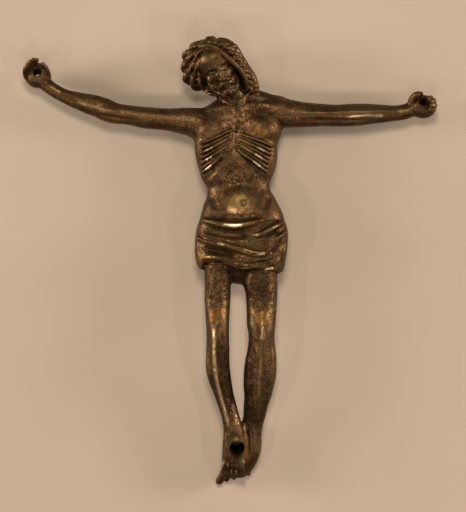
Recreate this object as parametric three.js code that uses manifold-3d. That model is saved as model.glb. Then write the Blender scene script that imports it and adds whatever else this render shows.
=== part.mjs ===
// A small cast bronze corpus: the figure from a crucifix, off its cross and lying on its back.
// Millimetres. +X is the figure's own left, +Y runs from the toes to the crown, +Z comes up out of the chest.
// The origin is under the middle of the figure's box, on the surface that it lies on.
import * as THREE from "three";
import { mergeVertices } from "three/addons/utils/BufferGeometryUtils.js";
import Module from "manifold-3d";

const wasm = await Module();
wasm.setup();

// Driving dimensions
const degrees = THREE.MathUtils.degToRad;
const footNail = { at: [2.2, -62.6, 11.0], radius: 2.3, lean: degrees(14) };
const rightHandNail = { at: [-64.4, 62.4, 8.0], radius: 1.2, lean: degrees(-15) };
const leftHandNail = { at: [64.2, 52.4, 8.0], radius: 1.1, lean: degrees(-32) };
const rightPalmAt = [-64.3, 62.2];
const leftPalmAt = [64.1, 52.0];
const ribCount = 7; // on each side, every second one slighter
const ribRadius = 0.55;
const slightRib = 0.8; // of the stronger ribs' radius
const ribLift = 0.3; // of its radius that a rib stands clear of the skin
const foldRadius = 0.8;
const fingerRadius = 1.05;
const toeRadius = 0.8;
const hairLockRadius = 2.0;
const headTilt = degrees(27); // the crown leans to the figure's right
const headNod = degrees(16); // the chin drops towards the chest
const headCentre = new THREE.Vector3(-4.7, 64.8, 13.2);
const bronze = { color: 0x4a3826, roughness: 0.42, metalness: 0.9 };

// Stations are [x, y, z, half width, half depth], from one end of a form to the other
const torsoStations = [
  [2.7, 54.0, 7.4, 5.0, 3.6],
  [2.7, 51.2, 7.2, 10.8, 4.9],
  [2.0, 47.6, 6.8, 13.6, 6.4],
  [1.9, 42.8, 7.1, 14.0, 7.3],
  [1.9, 36.8, 7.4, 14.0, 7.7],
  [2.2, 30.8, 7.6, 13.0, 7.2],
  [2.6, 24.0, 7.6, 10.2, 6.3],
  [3.2, 18.8, 8.2, 12.3, 7.4],
  [4.0, 13.5, 8.4, 13.9, 8.3],
  [3.7, 6.5, 8.4, 14.9, 8.7],
  [3.7, 0.0, 8.6, 14.3, 8.3],
  [3.8, -3.0, 9.0, 12.6, 7.0],
];
const clothStations = [
  [3.8, 14.6, 8.5, 14.3, 8.3],
  [3.8, 13.0, 8.5, 15.1, 9.0],
  [3.8, 8.6, 8.5, 15.6, 9.2],
  [3.6, 3.4, 8.6, 15.5, 9.2],
  [3.6, -1.2, 8.8, 14.5, 8.8],
  [3.9, -4.8, 9.2, 13.3, 7.9],
];
const napeStations = [
  [-3.4, 54.4, 7.6, 3.0, 3.4],
  [2.6, 55.4, 7.6, 3.4, 3.4],
  [9.4, 53.6, 7.6, 3.3, 3.6],
  [17.6, 50.8, 7.2, 3.2, 3.4],
];
const neckStations = [
  [2.2, 50.0, 7.2, 5.4, 4.6],
  [0.6, 54.6, 8.6, 4.5, 4.4],
  [-1.8, 59.5, 10.8, 4.4, 4.6],
];
const rightArmStations = [
  [-7.6, 45.0, 7.0, 5.6, 4.8],
  [-13.4, 46.2, 7.1, 4.9, 4.4],
  [-20.7, 47.0, 7.2, 3.8, 3.9],
  [-28.0, 47.7, 7.2, 3.7, 3.7],
  [-34.7, 48.8, 7.2, 3.35, 3.4],
  [-39.6, 49.6, 7.3, 3.75, 3.6],
  [-43.6, 50.9, 7.4, 3.8, 3.6],
  [-48.2, 52.4, 7.5, 3.3, 3.1],
  [-53.4, 54.2, 7.4, 2.55, 2.3],
  [-58.4, 56.8, 7.2, 2.1, 1.9],
  [-61.2, 58.9, 7.0, 2.8, 1.8],
];
const leftArmStations = [
  [10.0, 48.8, 7.0, 5.2, 4.6],
  [16.7, 49.2, 7.1, 5.0, 4.4],
  [24.0, 48.9, 7.2, 4.3, 4.0],
  [30.0, 48.6, 7.2, 3.95, 3.8],
  [37.5, 48.5, 7.2, 3.8, 3.5],
  [42.0, 48.7, 7.3, 3.85, 3.6],
  [48.7, 48.9, 7.5, 3.35, 3.0],
  [54.0, 49.2, 7.4, 2.8, 2.3],
  [58.5, 49.9, 7.2, 2.6, 1.9],
  [61.0, 50.8, 7.0, 2.9, 1.8],
];
const rightLegStations = [
  [-4.0, 1.0, 9.0, 4.7, 5.6],
  [-4.3, -7.0, 9.6, 4.4, 5.3],
  [-4.2, -15.0, 10.6, 4.3, 4.9],
  [-4.2, -20.5, 11.6, 3.9, 4.6],
  [-4.2, -24.5, 11.9, 3.75, 4.4],
  [-4.3, -31.0, 10.8, 4.1, 4.3],
  [-4.1, -37.0, 9.8, 4.1, 4.3],
  [-2.6, -43.5, 9.0, 3.6, 3.8],
  [-0.6, -49.0, 8.6, 3.1, 3.2],
  [0.8, -54.5, 8.6, 3.1, 3.1],
  [1.2, -59.5, 8.4, 3.85, 3.0],
  [1.3, -64.5, 7.9, 4.25, 2.6],
  [1.4, -68.5, 7.3, 4.4, 1.8],
];
const leftLegStations = [
  [10.4, 1.0, 9.0, 5.4, 5.8],
  [10.3, -8.0, 9.4, 5.3, 5.5],
  [10.3, -16.0, 10.2, 4.95, 5.0],
  [10.3, -21.5, 10.9, 4.7, 4.7],
  [10.3, -26.0, 10.9, 4.4, 4.5],
  [10.1, -33.0, 9.6, 5.2, 4.8],
  [9.7, -39.5, 8.6, 5.4, 4.9],
  [8.7, -46.0, 7.2, 4.5, 4.2],
  [7.6, -52.5, 6.0, 3.7, 3.5],
  [7.0, -58.5, 5.2, 3.6, 3.2],
  [6.0, -63.8, 4.5, 4.15, 3.0],
  [4.9, -66.5, 4.2, 4.3, 2.8],
  [3.3, -69.2, 3.9, 4.7, 2.4],
  [1.3, -71.4, 3.4, 4.9, 1.9],
];

const betweenFeet = { at: [2.6, -61.6, 3.4], radii: [5.2, 8.0, 4.4] }; // metal under the crossed feet
const viewAxis = new THREE.Vector3(0, 0, 1);
const filedDepth = 20; // of the block that files the back flat, below the surface
const smallestFacet = 0.12; // slivers thinner than this are closed up

// A closed tube of changing oval section with domed ends. squareness over 2 flattens the front and back,
// twist turns the section as it goes along, and dome is how far an end bulges for its size.
function limb(stations, options = {}) {
  const { sides = 12, steps = 2, squareness = 2, twist = 0, dome = 0.85, reference = viewAxis } = options;
  const path = new THREE.CatmullRomCurve3(stations.map((s) => new THREE.Vector3(s[0], s[1], s[2])));
  const girth = new THREE.CatmullRomCurve3(stations.map((s) => new THREE.Vector3(s[3], s[4], 0)));
  const spans = (stations.length - 1) * steps;
  const positions = [];
  const indices = [];

  function addRing(centre, tangent, halfWidth, halfDepth, turn) {
    const across = new THREE.Vector3().crossVectors(tangent, reference).normalize();
    const outward = new THREE.Vector3().crossVectors(across, tangent).normalize();
    for (let k = 0; k < sides; k++) {
      const angle = (2 * Math.PI * k) / sides;
      const bulge = (value) => Math.sign(value) * Math.abs(value) ** (2 / squareness);
      const a = halfWidth * bulge(Math.cos(angle));
      const b = halfDepth * bulge(Math.sin(angle));
      const u = a * Math.cos(turn) - b * Math.sin(turn);
      const v = a * Math.sin(turn) + b * Math.cos(turn);
      const p = centre.clone().addScaledVector(across, u).addScaledVector(outward, v);
      positions.push(p.x, p.y, p.z);
    }
  }

  // One smaller ring past an end ring starts the dome, and its tip closes it later
  function addDome(centre, tangent, size, way, turn) {
    const share = 0.7;
    const reach = way * Math.min(size.x, size.y) * dome * share;
    addRing(centre.clone().addScaledVector(tangent, reach), tangent, size.x * share, size.y * share, turn);
  }

  for (let i = 0; i <= spans; i++) {
    const t = i / spans;
    const centre = path.getPoint(t);
    const tangent = path.getTangent(t);
    const size = girth.getPoint(t);
    if (i === 0) addDome(centre, tangent, size, -1, 0);
    addRing(centre, tangent, size.x, size.y, twist * i);
    if (i === spans) addDome(centre, tangent, size, 1, twist * i);
  }
  const rings = positions.length / 3 / sides;
  for (let i = 0; i < rings - 1; i++) {
    for (let k = 0; k < sides; k++) {
      const a = i * sides + k;
      const b = i * sides + ((k + 1) % sides);
      indices.push(a, a + sides, b, b, a + sides, b + sides);
    }
  }
  const ends = [
    { t: 0, ring: 0, way: -1 },
    { t: 1, ring: rings - 1, way: 1 },
  ];
  for (const { t, ring, way } of ends) {
    const size = girth.getPoint(t);
    const tip = path.getPoint(t).addScaledVector(path.getTangent(t), way * Math.min(size.x, size.y) * dome);
    const apex = positions.length / 3;
    positions.push(tip.x, tip.y, tip.z);
    for (let k = 0; k < sides; k++) {
      const a = ring * sides + k;
      const b = ring * sides + ((k + 1) % sides);
      if (way < 0) indices.push(apex, a, b);
      else indices.push(apex, b, a);
    }
  }
  const geometry = new THREE.BufferGeometry();
  geometry.setAttribute("position", new THREE.Float32BufferAttribute(positions, 3));
  geometry.setIndex(indices);
  return solid(geometry);
}

function solid(geometry) {
  geometry.deleteAttribute("normal");
  geometry.deleteAttribute("uv");
  const merged = mergeVertices(geometry, 1e-4);
  return new wasm.Manifold(
    new wasm.Mesh({
      numProp: 3,
      vertProperties: merged.attributes.position.array,
      triVerts: new Uint32Array(merged.index.array),
    }),
  );
}

function oval(centre, radii, detail = 10) {
  const geometry = new THREE.SphereGeometry(1, detail, Math.round(detail * 0.7));
  return solid(geometry.scale(...radii).translate(...centre));
}

// A straight bore through the point where the nail went in. One that leans comes out at the back nearer to
// the head, or to the toes where the lean is negative.
function nailHole({ at, radius, lean }) {
  const long = 60;
  const bore = new THREE.CylinderGeometry(radius, radius, long, 18);
  bore.rotateX(Math.PI / 2 + lean);
  return solid(bore.translate(...at));
}

// The height of a form's front surface over a point of the ground plan
function frontHeight(stations, squareness) {
  const girth = new THREE.CatmullRomCurve3(stations.map((s) => new THREE.Vector3(s[3], s[4], s[2])));
  const middle = new THREE.CatmullRomCurve3(stations.map((s) => new THREE.Vector3(s[0], s[1], 0)));
  const halvings = 30;
  return (x, y) => {
    let low = 0;
    let high = 1;
    for (let i = 0; i < halvings; i++) {
      const half = (low + high) / 2;
      if (middle.getPoint(half).y > y) low = half;
      else high = half;
    }
    const size = girth.getPoint(low);
    const share = Math.min(0.995, Math.abs(x - middle.getPoint(low).x) / size.x);
    return size.z + size.y * (1 - share ** squareness) ** (1 / squareness);
  };
}

// A raised ridge that follows the front of a form through a few plan points, thin at both ends
function ridge(planPoints, height, radius, sunk = 0.35) {
  const last = planPoints.length - 1;
  const stations = planPoints.map(([x, y], i) => {
    const thin = i === 0 || i === last ? 0.55 : 1;
    return [x, y, height(x, y) - radius * sunk, radius * thin, radius * thin];
  });
  return limb(stations, { sides: 4, steps: 1 });
}

const torsoSquareness = 2.35;
const torsoHeight = frontHeight(torsoStations, torsoSquareness);
const clothHeight = frontHeight(clothStations, torsoSquareness);
const chestMuscles = [-1, 1].map((side) => ({ at: [2 + side * 6.3, 44.6, 7.6], radii: [7.8, 6.2, 6.7] }));

// The front of the chest is the torso or a chest muscle, whichever stands higher
function chestHeight(x, y) {
  const heights = chestMuscles.map(({ at, radii }) => {
    const off = ((x - at[0]) / radii[0]) ** 2 + ((y - at[1]) / radii[1]) ** 2;
    return off < 1 ? at[2] + radii[2] * Math.sqrt(1 - off) : 0;
  });
  return Math.max(torsoHeight(x, y), ...heights);
}

function torso() {
  const parts = [limb(torsoStations, { sides: 20, steps: 1, squareness: torsoSquareness, dome: 0.4 })];
  parts.push(limb(neckStations, { sides: 10, steps: 1 }));
  parts.push(limb(napeStations, { sides: 8, steps: 1 }));
  parts.push(oval([3.2, 18.5, 8.4], [9.6, 9.0, 7.3], 12)); // lower belly
  for (const { at, radii } of chestMuscles) parts.push(oval(at, radii));
  return parts;
}

// The carved ribs of each side fall away from the breastbone like a gable, from the highest to the lowest
function ribs() {
  const sides = [
    {
      highest: [[0.9, 43.8], [-3.5, 41.7], [-6.8, 40.2], [-10.4, 38.9]],
      lowest: [[-2.4, 35.4], [-4.6, 33.2], [-7.2, 31.0], [-9.8, 28.8]],
    },
    {
      highest: [[2.7, 42.4], [6.8, 40.9], [10.7, 39.5], [14.2, 37.7]],
      lowest: [[1.2, 37.8], [5.1, 34.8], [8.2, 32.6], [12.0, 29.2]],
    },
  ];
  const parts = [];
  for (const { highest, lowest } of sides) {
    for (let i = 0; i < ribCount; i++) {
      const share = i / (ribCount - 1);
      const rib = highest.map(([x, y], k) => [
        THREE.MathUtils.lerp(x, lowest[k][0], share),
        THREE.MathUtils.lerp(y, lowest[k][1], share),
      ]);
      const radius = i % 2 ? ribRadius * slightRib : ribRadius;
      parts.push(ridge(rib, chestHeight, radius, -ribLift));
    }
  }
  return parts;
}

function loincloth() {
  const parts = [limb(clothStations, { sides: 20, steps: 1, squareness: torsoSquareness, dome: 0.25 })];
  const folds = [
    [[-10.2, 13.7], [-4.5, 12.5], [1.0, 11.7], [6.5, 12.5], [10.7, 13.7]],
    [[6.8, 8.8], [12.0, 9.8], [16.7, 12.6]],
    [[-11.0, 8.0], [-5.0, 5.8], [1.0, 4.4], [8.6, 2.6], [12.2, 3.4], [16.4, 8.0]],
    [[-10.6, 0.4], [-6.0, 1.3], [-1.0, 0.3]],
    [[1.2, 2.2], [6.6, 0.6], [12.2, 0.9]],
    [[18.4, 6.0], [17.4, 2.4], [15.8, -1.2]],
    [[10.6, -3.0], [13.8, -2.4], [16.6, -4.2]],
  ];
  for (const fold of folds) parts.push(ridge(fold, clothHeight, foldRadius));
  // The cloth hangs a little lower between the thighs
  parts.push(
    limb(
      [
        [2.6, 0.0, 11.6, 5.2, 4.0],
        [2.6, -3.6, 10.8, 4.0, 3.4],
        [2.6, -5.4, 10.2, 3.4, 2.6],
      ],
      { sides: 10, steps: 1, squareness: 2.6 },
    ),
  );
  return parts;
}

function arm(stations) {
  return limb(stations, { sides: 10, steps: 1 });
}

function leg(stations) {
  return limb(stations, { sides: 12, steps: 1 });
}

// A cupped hand: a flat palm, four fingers that fan out and curl up over it, and a thumb
function hand([x, y], firstFinger, fingerStep, thumbAngle, thumbReach) {
  const fingerReach = 3.8;
  const palm = [x, y, 6.4];
  const parts = [oval(palm, [3.7, 3.7, 1.9], 12)];
  function digit(angle, reach, radius) {
    const along = [Math.cos(degrees(angle)), Math.sin(degrees(angle))];
    const place = (out, up, girth) => {
      return [palm[0] + along[0] * out, palm[1] + along[1] * out, palm[2] + up, girth, girth];
    };
    const path = [
      place(reach * 0.55, -0.2, radius),
      place(reach * 0.92, 0.7, radius),
      place(reach, 2.4, radius),
      place(reach * 0.82, 3.7, radius * 0.85),
    ];
    return limb(path, { sides: 5, steps: 1, reference: new THREE.Vector3(-along[1], along[0], 0) });
  }
  for (let i = 0; i < 4; i++) parts.push(digit(firstFinger + fingerStep * i, fingerReach, fingerRadius));
  parts.push(digit(thumbAngle, thumbReach, fingerRadius * 1.05));
  return parts;
}

// Five toes side by side across the end of a foot
function toes(from, to, direction, rootHeight, bigToeFirst) {
  const parts = [];
  const count = 5;
  for (let i = 0; i < count; i++) {
    const share = i / (count - 1);
    const x = THREE.MathUtils.lerp(from[0], to[0], share);
    const y = THREE.MathUtils.lerp(from[1], to[1], share);
    const order = bigToeFirst ? i : count - 1 - i;
    const radius = order === 0 ? toeRadius * 1.35 : toeRadius * (1.05 - 0.05 * order);
    const long = order === 0 ? 3.2 : 2.9 - 0.3 * order;
    parts.push(
      limb(
        [
          [x, y, rootHeight, radius, radius],
          [x + direction[0] * long * 0.6, y + direction[1] * long * 0.6, rootHeight + 0.2, radius, radius],
          [x + direction[0] * long, y + direction[1] * long, rootHeight - 0.3, radius * 0.9, radius * 0.9],
        ],
        { sides: 6, steps: 1 },
      ),
    );
  }
  return parts;
}

// Head and hair are made upright about the head's middle, then tilted and nodded into place
function head() {
  const parts = [];
  parts.push(oval([0, 1.6, -0.4], [6.2, 7.4, 7.4], 12)); // skull
  parts.push(oval([0, -3.4, 2.4], [4.6, 6.0, 4.8])); // face and jaw
  parts.push(oval([0, -8.0, 4.0], [2.6, 2.4, 2.6])); // beard
  const nose = [
    [0, 0.6, 6.8, 0.6, 0.6],
    [0, -1.2, 7.8, 0.8, 0.9],
    [0, -2.6, 8.2, 1.05, 0.9],
  ];
  parts.push(limb(nose, { sides: 6, steps: 1 }));
  for (const side of [-1, 1]) parts.push(oval([side * 2.4, 0.6, 5.9], [2.1, 0.7, 1.0], 8)); // brow
  parts.push(oval([-0.8, 1.2, -2.4], [9.4, 8.6, 6.2])); // hair on the back of the head
  const fallingHair = [
    [3.4, -1.0, -1.6, 4.8, 4.4],
    [6.0, -6.2, -2.6, 3.8, 3.8],
    [7.8, -11.2, -4.0, 2.8, 2.8],
  ];
  parts.push(limb(fallingHair, { sides: 8, steps: 1 })); // hair behind the neck, down to the left shoulder
  // Wavy locks fall from the parting, swinging out on the side that the head leans to
  const rightOutline = [
    [-0.2, 8.2, 3.2],
    [-5.8, 8.8, 3.4],
    [-10.0, 5.8, 3.0],
    [-10.8, 1.2, 2.4],
    [-8.9, -3.2, 1.6],
    [-5.8, -6.6, 0.6],
  ];
  const leftOutline = [
    [0.2, 8.2, 3.2],
    [5.1, 7.2, 3.2],
    [7.8, 2.6, 2.6],
    [8.4, -2.6, 1.6],
    [8.7, -8.0, 0.0],
    [9.0, -12.6, -2.6],
  ];
  const lockCount = 3;
  for (const [outline, side] of [[rightOutline, -1], [leftOutline, 1]]) {
    for (let i = 0; i < lockCount; i++) {
      const radius = hairLockRadius * (1 - 0.05 * i);
      const lock = outline.map(([x, y, z], k) => {
        const girth = k === 0 || k === outline.length - 1 ? radius * 0.75 : radius;
        return [x * (1 - 0.04 * i), y - 0.4 * i, z - 3.0 * i * (1 - 0.08 * k), girth, girth * 0.8];
      });
      parts.push(limb(lock, { sides: 5, steps: 2, twist: 0.6 * side }));
    }
  }
  const place = new THREE.Matrix4()
    .makeTranslation(headCentre.x, headCentre.y, headCentre.z)
    .multiply(new THREE.Matrix4().makeRotationZ(headTilt))
    .multiply(new THREE.Matrix4().makeRotationX(headNod));
  return parts.map((part) => part.transform(place.elements));
}

function figure() {
  const parts = [
    ...torso(),
    ...ribs(),
    ...loincloth(),
    ...head(),
    arm(rightArmStations),
    arm(leftArmStations),
    leg(rightLegStations),
    leg(leftLegStations),
    ...hand(rightPalmAt, 194, -34, 52, 3.2),
    ...hand(leftPalmAt, -26, 34, 126, 4.4),
    ...toes([-1.4, -69.0], [4.6, -69.2], [0.06, -1], 7.2, false),
    ...toes([-2.4, -70.6], [5.2, -69.6], [-0.38, -0.92], 2.9, true),
    oval(betweenFeet.at, betweenFeet.radii),
  ];
  let body = parts[0];
  for (const part of parts.slice(1)) body = body.add(part);
  for (const nail of [footNail, rightHandNail, leftHandNail]) body = body.subtract(nailHole(nail));
  // The back is filed flat where it lay against the cross
  const filed = solid(new THREE.BoxGeometry(200, 200, filedDepth).translate(0, 0, -filedDepth / 2));
  body = body.subtract(filed).simplify(smallestFacet);
  // The cast is solid, so only its outer skin is kept where two forms closed over a gap
  return body.decompose().reduce((largest, piece) => (piece.volume() > largest.volume() ? piece : largest));
}

function geometryOf(manifold) {
  const mesh = manifold.getMesh();
  const geometry = new THREE.BufferGeometry();
  geometry.setAttribute("position", new THREE.Float32BufferAttribute(mesh.vertProperties, 3));
  geometry.setIndex(Array.from(mesh.triVerts));
  return geometry;
}

const christFigure = new THREE.Mesh(geometryOf(figure()), new THREE.MeshStandardMaterial(bronze));
christFigure.name = "christ_figure";

const part = new THREE.Group();
part.add(christFigure);

export default part;
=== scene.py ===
import math

import bpy
import numpy as np
from mathutils import Matrix, Vector


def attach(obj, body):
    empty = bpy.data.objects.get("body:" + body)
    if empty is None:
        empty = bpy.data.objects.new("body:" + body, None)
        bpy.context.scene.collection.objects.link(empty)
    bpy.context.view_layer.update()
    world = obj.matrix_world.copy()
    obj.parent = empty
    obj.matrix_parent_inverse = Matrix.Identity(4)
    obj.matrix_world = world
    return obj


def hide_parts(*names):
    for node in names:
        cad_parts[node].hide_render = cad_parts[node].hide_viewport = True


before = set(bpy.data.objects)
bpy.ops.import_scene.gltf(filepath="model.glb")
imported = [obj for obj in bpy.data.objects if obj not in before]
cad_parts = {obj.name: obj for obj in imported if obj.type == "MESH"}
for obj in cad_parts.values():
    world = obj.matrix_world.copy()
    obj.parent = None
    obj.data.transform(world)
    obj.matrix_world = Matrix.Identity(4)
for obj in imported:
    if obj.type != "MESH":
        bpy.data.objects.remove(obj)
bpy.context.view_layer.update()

# The figure is modelled at 1 unit = 1 mm, in the CAD's own frame, and made metres at the end.
# It lies on its back: +X is its own left, +Y runs up to the crown, +Z comes out of the chest.
mm = 0.001

setup = {
    "bodyVoxel": 0.45,  # grain of the first, coarse clay
    "voxel": 0.19,  # grain of the clay that gets the fine forms
    "ringGap": 1.2,  # between two rings of a limb
    "trianglesKept": 190000,
}


# Helpers for modelling

def clearSelection():
    if bpy.context.object and bpy.context.object.mode != "OBJECT":
        bpy.ops.object.mode_set(mode="OBJECT")
    bpy.ops.object.select_all(action="DESELECT")


def activate(obj):
    clearSelection()
    obj.select_set(True)
    bpy.context.view_layer.objects.active = obj


def smoothRun(stations, gap):
    # A Catmull-Rom curve through the stations, all their columns at once, in steps of about gap
    s = np.array(stations, float)
    s = np.vstack([2 * s[0] - s[1], s, 2 * s[-1] - s[-2]])
    run = []
    for i in range(1, len(s) - 2):
        a, b, c, d = s[i - 1], s[i], s[i + 1], s[i + 2]
        steps = max(1, round(float(np.linalg.norm((c - b)[:3])) / gap))
        for k in range(steps):
            t = k / steps
            run.append(0.5 * (2 * b + (c - a) * t + (2 * a - 5 * b + 4 * c - d) * t * t
                              + (3 * b - a - 3 * c + d) * t ** 3))
    run.append(s[-2])
    return np.array(run)


def ringForm(stations, lieAlong, sides=28, squareness=2.0):
    # Rings square to X or Y are extruded one from the next: x, y, z, half width, half depth
    rings = smoothRun(stations, setup["ringGap"])
    x, y, z, width, depth = rings[0]
    turn = (math.pi / 2, 0, 0) if lieAlong == "Y" else (math.pi / 2, 0, math.pi / 2)
    clearSelection()
    bpy.ops.mesh.primitive_circle_add(vertices=sides, radius=1, fill_type="NGON",
                                      location=(x, y, z), rotation=turn)
    bpy.ops.object.transform_apply(location=True, rotation=True, scale=True)
    form = bpy.context.object
    for v in form.data.vertices:  # a rounder or squarer first ring
        out = v.co - Vector((x, y, z))
        across = out.x if lieAlong == "Y" else out.y
        roundness = (abs(across) ** squareness + abs(out.z) ** squareness) ** (-1 / squareness)
        v.co = Vector((x, y, z)) + out * roundness
    bpy.ops.object.mode_set(mode="EDIT")
    bpy.ops.mesh.select_all(action="SELECT")

    def fit(widthBy, depthBy, centre):
        value = (widthBy, 1, depthBy) if lieAlong == "Y" else (1, widthBy, depthBy)
        bpy.ops.transform.resize(value=value, center_override=tuple(centre))

    fit(width, depth, rings[0][:3])
    for before, ring in zip(rings, rings[1:]):
        step = tuple(ring[:3] - before[:3])
        bpy.ops.mesh.extrude_region_move(TRANSFORM_OT_translate={"value": step})
        fit(ring[3] / before[3], ring[4] / before[4], ring[:3])
    bpy.ops.mesh.select_all(action="SELECT")
    bpy.ops.mesh.normals_make_consistent(inside=False)
    bpy.ops.object.mode_set(mode="OBJECT")
    return form


def ballForm(centre, radii, turn=(0, 0, 0)):
    clearSelection()
    bpy.ops.mesh.primitive_uv_sphere_add(segments=28, ring_count=18, radius=1,
                                         location=centre, rotation=turn, scale=radii)
    bpy.ops.object.transform_apply(location=True, rotation=True, scale=True)
    return bpy.context.object


def cordForm(runs, sides=2):
    # Round strands, each a list of x, y, z, radius, all in one curve object that becomes a mesh
    clearSelection()
    bpy.ops.curve.primitive_nurbs_path_add(location=(0, 0, 0))
    curve = bpy.context.object.data
    curve.splines.clear()
    curve.bevel_depth = 1
    curve.bevel_resolution = sides
    curve.use_fill_caps = True
    for run in runs:
        spline = curve.splines.new("POLY")
        spline.points.add(len(run) - 1)
        for point, (x, y, z, radius) in zip(spline.points, run):
            point.co = (x, y, z, 1)
            point.radius = radius
    bpy.ops.object.convert(target="MESH")
    return bpy.context.object


def rounded(run):
    # Two more points past each end bring a strand to a round tip
    run = np.array(run, float)
    dome = ((0.6, 0.8), (0.9, 0.44))  # how far past the end, how thick there, in the end's own radii
    ends = []
    for end, inside in ((run[0], run[1]), (run[-1], run[-2])):
        way = end[:3] - inside[:3]
        way = way / np.linalg.norm(way)
        ends.append([np.append(end[:3] + way * end[3] * reach, end[3] * girth) for reach, girth in dome])
    return np.vstack([ends[0][1], ends[0][0], run, ends[1][0], ends[1][1]])


def tube(stations, gap=0.7):
    return rounded(smoothRun(stations, gap))


def rope(stations, strands=3, pitch=6.0, lay=0.52, start=0.0, gap=0.45):
    # Strands wound round a path: each station is x, y, z and the whole lock's radius
    path = smoothRun(stations, gap)
    middle, girth = path[:, :3], path[:, 3]
    ahead = np.gradient(middle, axis=0)
    ahead /= np.linalg.norm(ahead, axis=1)[:, None]
    side = np.cross(ahead, np.array([0.0, 0.0, 1.0]))
    side /= np.linalg.norm(side, axis=1)[:, None]
    up = np.cross(side, ahead)
    length = np.concatenate([[0], np.cumsum(np.linalg.norm(np.diff(middle, axis=0), axis=1))])
    made = []
    for k in range(strands):
        angle = 2 * math.pi * (length / pitch + k / strands) + start
        out = (girth * lay)[:, None]
        at = middle + out * (np.cos(angle)[:, None] * side + np.sin(angle)[:, None] * up)
        made.append(rounded(np.column_stack([at, girth * (1.06 - lay)])))
    return made


def ease(value):
    value = np.clip(value, 0, 1)
    return value * value * (3 - 2 * value)


def between(first, last, share):
    first, last = np.array(first, float), np.array(last, float)
    return first + (last - first) * share


def finer(strands, hairs):
    # Each strand split into so many loosely twisted ones
    if hairs == 1:
        return strands
    split = []
    for k, strand in enumerate(strands):
        split += rope(strand[2:-2:3], hairs, 7.5, start=k * 1.3)
    return split


# Body: stations are x, y, z, half width, half depth, all in mm

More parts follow.
